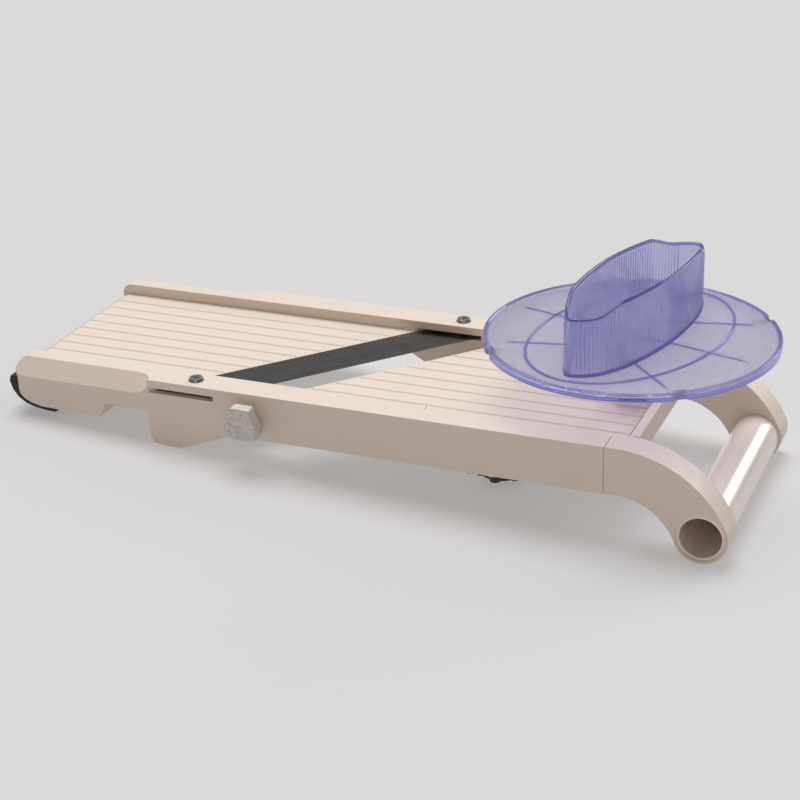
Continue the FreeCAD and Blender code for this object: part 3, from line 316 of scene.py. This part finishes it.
def guard_plastic(name, tint, roughness, milky, pebbled):
    """Tinted clear plastic that refracts; shadow and diffuse rays pass straight through it."""
    n = Nodes(name)
    grain = n.noise(1.3, 3.0, (1, 1, 1), 0.6)
    waves = n.noise(7.0, 2.0)
    height = n.combine(n.span(grain, 0.36, 0.64, 0, pebbled), n.combine(waves, 0.5, "MULTIPLY"))
    body = n.add("BsdfPrincipled", inputs={"IOR": 1.46, "Transmission Weight": 1.0 - milky})
    drift = n.span(n.noise(11.0, 2.0), 0.3, 0.7, 0, 1)
    n.put(body.inputs["Base Color"], n.blend(drift, srgb(*tint), srgb(*[v - 4 for v in tint])))
    n.put(body.inputs["Roughness"], n.span(grain, 0.3, 0.7, roughness, roughness + 0.10))
    n.put(body.inputs["Normal"], n.bump(height, 0.16 + 0.30 * pebbled, 0.9))
    through = n.add("BsdfTransparent", inputs={"Color": srgb(238, 236, 243)})
    path = n.add("LightPath")
    passing = n.combine(path.outputs["Is Shadow Ray"], path.outputs["Is Diffuse Ray"], "MAXIMUM")
    mix = n.add("MixShader", inputs={0: passing, 1: body.outputs["BSDF"], 2: through.outputs["BSDF"]})
    n.tree.links.new(mix.outputs["Shader"], n.output.inputs["Surface"])
    return n.material


def floor_paint():
    """Pale studio table that glows a little, with the faintest mottling."""
    n = Nodes("floor")
    colour = n.blend(n.noise(400.0, 2.0), srgb(165, 165, 167), srgb(163, 163, 165))
    return n.finish(Base_Color=colour, Roughness=0.9, Specular_IOR_Level=0.0,
                    Emission_Color=srgb(166, 165, 164), Emission_Strength=0.80)


floor_corners = [(FLOOR_HALF * x, FLOOR_HALF * y, 0) for x, y in ((-1, -1), (1, -1), (1, 1), (-1, 1))]
floor_mesh = bpy.data.meshes.new("floor")
floor_mesh.from_pydata(floor_corners, [], [(0, 1, 2, 3)])
floor_mesh.materials.append(floor_paint())
floor_object = bpy.data.objects.new("floor", floor_mesh)
scene.collection.objects.link(floor_object)

# ---------------------------------------------------------------- materials on the CAD pieces
BOARD = frame_plastic()
ZINC = zinc()
BRASS = brass()
DARK = dark_plastic()
WALL = guard_plastic("guard_wall", (213, 215, 253), 0.03, 0.12, 0.05)
DISC = guard_plastic("guard_disc_face", (236, 237, 255), 0.10, 0.20, 1.0)
# A darker copy of the same clear plastic for the disc's rim and ridges: painted shade for the dark lines
# they show
RIM_RIDGE_SHADE = guard_plastic("guard_rim_painted_shade", (158, 158, 228), 0.04, 0.12, 0.05)
# A still darker copy of the same plastic for the grip's foot and top edge: painted shade for the dark
# lines there
GRIP_EDGE_SHADE = guard_plastic("guard_edge_painted_shade", (118, 118, 200), 0.05, 0.20, 0.05)
FINISH = {
    "body_frame": BOARD, "handle_frame": BOARD, "bed_bridge": BOARD, "feed_bed": BOARD,
    "handle_tube": tube_plastic(), "nose_pad": rubber(),
    "slicing_blade": blade_steel(), "side_knob": cast_metal(),
    "blade_screws": ZINC, "blade_nuts": ZINC, "handle_joint_screws": ZINC, "bridge_screws": ZINC,
    "bed_guide_pins": ZINC, "screw_clips": ZINC, "thickness_screw_near": ZINC, "thickness_screw_far": ZINC,
    "side_screw_shank": ZINC, "guard_food_pins": ZINC, "carrier_screws": ZINC,
    "thickness_inserts": BRASS, "side_screw_insert": BRASS,
    "thickness_knob_near": DARK, "thickness_knob_far": DARK, "clamp_shoe": DARK,
    "guard_pin_carrier": DISC,
}
for node, material in FINISH.items():
    piece = frame["nodes"][node]
    if not piece.data.materials:
        piece.data.materials.append(material)
    for place in piece.material_slots:
        place.material = material

# ---------------------------------------------------------------- hand guard
# Board-frame millimetres; U runs along the grip and V across it
GUARD = Vector((-6.3, 64.05))
GUARD_TOP = 28.9
GUARD_R = 69.9
DISC_T = 2.0
DISC_STEPS = 540
HUB_R = 0.6
TOP_RADII = (HUB_R, 8, 16, 24, 32, 40, 48, 56, 62, 66, GUARD_R - 2.2)
UNDER_RADII = (GUARD_R - 2.4, 52.0, 34.0, 16.0, HUB_R)
# The rim's section from the top face over its bead and down the lip: out from the radius, up from the top
RIM_SECTION = ((-1.75, 0.05), (-1.5, 0.45), (-1.1, 0.66), (-0.6, 0.66), (-0.2, 0.42), (0.0, 0.0),
               (0.0, -1.3), (0.0, -2.6), (-0.1, -3.6), (-0.5, -4.0), (-1.3, -4.0), (-1.85, -3.6),
               (-2.0, -2.6))
NOTCH_ANGLES = [math.radians(34 + 90 * k) for k in range(4)]
NOTCH_HALF = 2.6
NOTCH_EDGE = 0.8
NOTCH_DEPTH = 1.5
GRIP = Vector((-4.35, 64.55))
GRIP_ANGLE = math.radians(74.7)
GRIP_U = Vector((math.cos(GRIP_ANGLE), math.sin(GRIP_ANGLE)))
GRIP_V = Vector((math.sin(GRIP_ANGLE), -math.cos(GRIP_ANGLE)))
OVAL_A = 64.0
OVAL_B = 41.8
OVAL_STEPS = 260
RIB_STEP = 0.8
# Ribs on the disc: where each starts on the grip's axis, its direction, and how far it runs
RIBS = ((0, 0, 62), (19, 27, 60), (-18, -31, 64))


def smooth(x):
    """Smooth step from 0 to 1."""
    x = min(1.0, max(0.0, x))
    return x * x * (3 - 2 * x)


def plateau(distance, half, edge):
    """1 within half, falling to 0 over the edge."""
    return 1 - smooth((abs(distance) - half) / edge)


def notch(angle):
    """How far the rim is cut in at this angle, 0 to 1."""
    depth = 0.0
    for a in NOTCH_ANGLES:
        off = math.atan2(math.sin(angle - a), math.cos(angle - a)) * GUARD_R
        depth = max(depth, plateau(off, NOTCH_HALF, NOTCH_EDGE))
    return depth


def new_piece(name, vertices, faces, materials, body, node_slot):
    """Mesh object in scene coordinates riding on a body; faces come with the number of their material."""
    mesh = bpy.data.meshes.new(name)
    mesh.from_pydata([at(*v) for v in vertices], [], [face for face, _ in faces])
    for material in materials:
        mesh.materials.append(material)
    mesh.polygons.foreach_set("material_index", [number for _, number in faces])
    shell = bmesh.new()
    shell.from_mesh(mesh)
    bmesh.ops.recalc_face_normals(shell, faces=shell.faces)
    shell.to_mesh(mesh)
    shell.free()
    for polygon in mesh.polygons:
        polygon.use_smooth = True
    obj = bpy.data.objects.new(name, mesh)
    scene.collection.objects.link(obj)
    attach(obj, body)
    return obj


def grid_faces(rows, columns):
    """Quads of a grid of rows that each close on themselves."""
    faces = []
    for r in range(rows - 1):
        for c in range(columns):
            d = (c + 1) % columns
            faces.append((r * columns + c, r * columns + d, (r + 1) * columns + d, (r + 1) * columns + c))
    return faces


def bead(path, half_width, height, closed, fade):
    """Half-round ridge swept on the disc along plan points; open ones taper at their ends."""
    section = [(math.cos(math.pi * k / 8), math.sin(math.pi * k / 8)) for k in range(9)]
    vertices = []
    count = len(path)
    for k, p in enumerate(path):
        before = path[k - 1] if closed or k > 0 else p
        after = path[(k + 1) % count] if closed or k < count - 1 else p
        heading = (after - before).normalized()
        out = Vector((heading.y, -heading.x))
        reach = 1.0
        if not closed:
            reach = smooth(min(k, count - 1 - k) / fade + 0.15)
        for across, lift in section:
            q = p + out * across * half_width * (0.4 + 0.6 * reach)
            vertices.append((q.x, q.y, GUARD_TOP - 0.05 + lift * height * reach))
    faces = []
    step = len(section)
    for k in range(count if closed else count - 1):
        m = (k + 1) % count
        for j in range(step):
            i = (j + 1) % step
            faces.append((k * step + j, k * step + i, m * step + i, m * step + j))
    if not closed:
        faces.append(tuple(range(step)))
        faces.append(tuple((count - 1) * step + j for j in range(step))[::-1])
    return vertices, faces


def build_ridges():
    """The disc's oval ridge and its ribs."""
    turns = [2 * math.pi * k / OVAL_STEPS for k in range(OVAL_STEPS)]
    oval = [GUARD + GRIP_U * (OVAL_A * math.cos(t)) + GRIP_V * (OVAL_B * math.sin(t)) for t in turns]
    pieces = [bead(oval, 0.8, 0.95, True, 1)]
    for sign in (1, -1):
        for start, turn, run in RIBS:
            angle = GRIP_ANGLE - math.pi / 2 + math.radians(turn) + (0 if sign > 0 else math.pi)
            heading = Vector((math.cos(angle), math.sin(angle)))
            root = GRIP_U * (start * sign)
            spots = [root + heading * (RIB_STEP * k) for k in range(8, 90)]
            spots = [GUARD + p for p in spots if p.length < run]
            pieces.append(bead(spots, 0.75, 0.75, False, 6))
    vertices = []
    faces = []
    for points, quads in pieces:
        base = len(vertices)
        vertices += points
        faces += [(tuple(base + v for v in quad), 0) for quad in quads]
    return vertices, faces


def build_disc():
    """Disc with a beaded rim, a lip with notches, and a flat underside."""
    rings = [("top", r, GUARD_TOP) for r in TOP_RADII]
    rings += [("rim", GUARD_R + out, GUARD_TOP + rise) for out, rise in RIM_SECTION]
    rings += [("under", r, GUARD_TOP - DISC_T) for r in UNDER_RADII]
    inner_lip = len(TOP_RADII) + len(RIM_SECTION) - 3
    vertices = []
    for number, (kind, r, z) in enumerate(rings):
        for k in range(DISC_STEPS):
            angle = 2 * math.pi * k / DISC_STEPS
            cut = notch(angle)
            radius = r
            height = z
            if kind == "rim":
                # The lip's lower inner edge hardly moves at a notch
                radius = r - NOTCH_DEPTH * cut * (0.2 if number == inner_lip else 1)
                if z > GUARD_TOP:
                    height = GUARD_TOP + (z - GUARD_TOP) * (1 - cut)
            vertices.append((GUARD.x + radius * math.cos(angle), GUARD.y + radius * math.sin(angle),
                             height))
    faces = grid_faces(len(rings), DISC_STEPS)
    # Faces on the rim take the darker copy of the plastic: painted shade along the rim
    rim_shade_bands = [1 if "rim" in (rings[k][0], rings[k + 1][0]) else 0 for k in range(len(rings) - 1)]
    faces = [(face, rim_shade_bands[k // DISC_STEPS]) for k, face in enumerate(faces)]
    last = (len(rings) - 1) * DISC_STEPS
    faces.append((tuple(range(DISC_STEPS))[::-1], 0))
    faces.append((tuple(last + k for k in range(DISC_STEPS)), 0))
    return vertices, faces


# One side of the grip's outline from tip to tip, as (U, V); the other is the same turned by half a turn
GRIP_SIDE = ((-59.5, 0.0), (-57.6, 5.4), (-52.8, 10.4), (-45.6, 14.1), (-36.0, 17.0), (-20.0, 18.8),
             (-4.0, 19.2), (11.0, 17.9), (27.0, 15.3), (39.5, 12.0), (50.0, 7.6), (56.4, 3.6))
RING_SPACING = 0.24
FLUTE_PITCH = 1.92
FLUTE_DEPTH = 0.42
INNER_WALL = 1.9
# Rows of the grip's wall: what its height is measured from, that height, how much of the flutes it
# has, and how far it stands out. A foot row is above the disc, a wall row is a share of the wall's
# height, and a crest row is below the top edge.
OUTER_ROWS = (("foot", -0.4, 0.4, 0.7), ("foot", 0.0, 0.4, 0.7), ("foot", 0.5, 0.4, 0.437),
              ("foot", 1.2, 1.0, 0.0), ("foot", 2.2, 1.0, 0.0),
              ("wall", 0.48, 1.0, 0.0), ("wall", 0.98, 1.0, 0.0),
              ("crest", -2.4, 1.0, 0.0), ("crest", -1.5, 0.15, 0.0), ("crest", -0.9, 0.0, 0.25),
              ("crest", -0.35, 0.0, 0.1), ("crest", -0.05, 0.0, -0.35), ("crest", 0.0, 0.0, -0.9))
INNER_ROWS = (("crest", -0.05, 0.0, -0.45), ("crest", -0.35, 0.0, 0.0), ("crest", -1.5, 0.1, 0.0),
              ("crest", -2.6, 0.8, 0.0), ("wall", 0.48, 1.0, 0.0),
              ("foot", 1.2, 1.0, 0.0), ("foot", 0.5, 0.4, 0.25), ("foot", -0.4, 0.4, 0.7))


def closed_curve(points, spacing):
    """Evenly spaced points on a smooth closed curve through the given ones."""
    count = len(points)
    fine = []
    for k in range(count):
        p0, p1, p2, p3 = (Vector(points[(k + d) % count]) for d in (-1, 0, 1, 2))
        for s in range(24):
            t = s / 24
            fine.append(0.5 * ((2 * p1) + (p2 - p0) * t + (2 * p0 - 5 * p1 + 4 * p2 - p3) * t * t
                               + (3 * p1 - p0 - 3 * p2 + p3) * t ** 3))
    lengths = [0.0]
    for k in range(len(fine)):
        lengths.append(lengths[-1] + (fine[(k + 1) % len(fine)] - fine[k]).length)
    total = lengths[-1]
    number = int(total / spacing)
    out = []
    k = 0
    for i in range(number):
        want = total * i / number
        while lengths[k + 1] < want:
            k += 1
        t = (want - lengths[k]) / max(1e-9, lengths[k + 1] - lengths[k])
        out.append(fine[k].lerp(fine[(k + 1) % len(fine)], t))
    return out, total


def grip_height(u):
    """Height of the grip's top edge: low tips, an S-shaped step, a gentle crown."""
    a = abs(u)
    return 27.5 + 4.1 * smooth((53.0 - a) / 15.0) + 1.4 * (1 - (a / 60) ** 2)


def flutes_left(u):
    """How much of the flutes there is at this place along the grip; its tips are plain."""
    if u > 0:
        return 1 - smooth((u - 53.5) / 2.0)
    return 1 - smooth((-u - 57.5) / 1.5)


def row_height(kind, height, top):
    """Height above the disc of a point in a row, where the wall's top edge is this high."""
    if kind == "foot":
        return height
    if kind == "wall":
        return 2.4 + (top - 5.0) * height
    return top + height


def build_grip():
    """Hollow lens-shaped wall with upright flutes on both faces."""
    outline = list(GRIP_SIDE) + [(-u, -v) for u, v in GRIP_SIDE]
    ring, total = closed_curve(outline, RING_SPACING)
    count = len(ring)
    flutes = round(total / FLUTE_PITCH)
    columns = []
    for k in range(count):
        tangent = (ring[(k + 2) % count] - ring[k - 2]).normalized()
        outward = Vector((-tangent.y, tangent.x))
        wave = math.cos(2 * math.pi * flutes * k / count) * flutes_left(ring[k].x)
        columns.append((ring[k], outward, grip_height(ring[k].x), wave))
    vertices = []
    for outside, rows in ((True, OUTER_ROWS), (False, INNER_ROWS)):
        for kind, height, fluted, flare in rows:
            for point, outward, top, wave in columns:
                if outside:
                    offset = FLUTE_DEPTH * wave * fluted + flare - FLUTE_DEPTH
                else:
                    offset = -INNER_WALL - FLUTE_DEPTH * 0.6 * (wave + 1) * fluted - flare
                spot = point + outward * offset
                p = GRIP + GRIP_U * spot.x + GRIP_V * spot.y
                vertices.append((p.x, p.y, GUARD_TOP + row_height(kind, height, top)))
    row_count = len(OUTER_ROWS) + len(INNER_ROWS)
    faces = grid_faces(row_count, count)
    last = (row_count - 1) * count
    faces += [(last + c, last + (c + 1) % count, (c + 1) % count, c) for c in range(count)]
    # Bands of faces, counted up the outside and down the inside, that take the darker copy of the plastic:
    # painted shade along the wall's foot and top edge
    foot_bands = {0, 1, 2, row_count - 2, row_count - 1}
    crest_bands = set(range(9, len(OUTER_ROWS) + 2))
    painted_shade_bands = foot_bands | crest_bands
    return vertices, [(face, 1 if k // count in painted_shade_bands else 0) for k, face in enumerate(faces)]


disc = new_piece("guard_disc", *build_disc(), (DISC, RIM_RIDGE_SHADE), "hand_guard", "guard_plastic")
# The ridges take the darker copy of the plastic: painted shade that draws them as dark lines
ridges = new_piece("guard_ridges", *build_ridges(), (RIM_RIDGE_SHADE,), "hand_guard", "guard_plastic")
# The grip's foot and top edge take the darker copy of the plastic: painted shade
grip = new_piece("guard_grip", *build_grip(), (WALL, GRIP_EDGE_SHADE), "hand_guard", "guard_plastic")
for piece in (disc, ridges, grip):
    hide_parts("hand_guard")
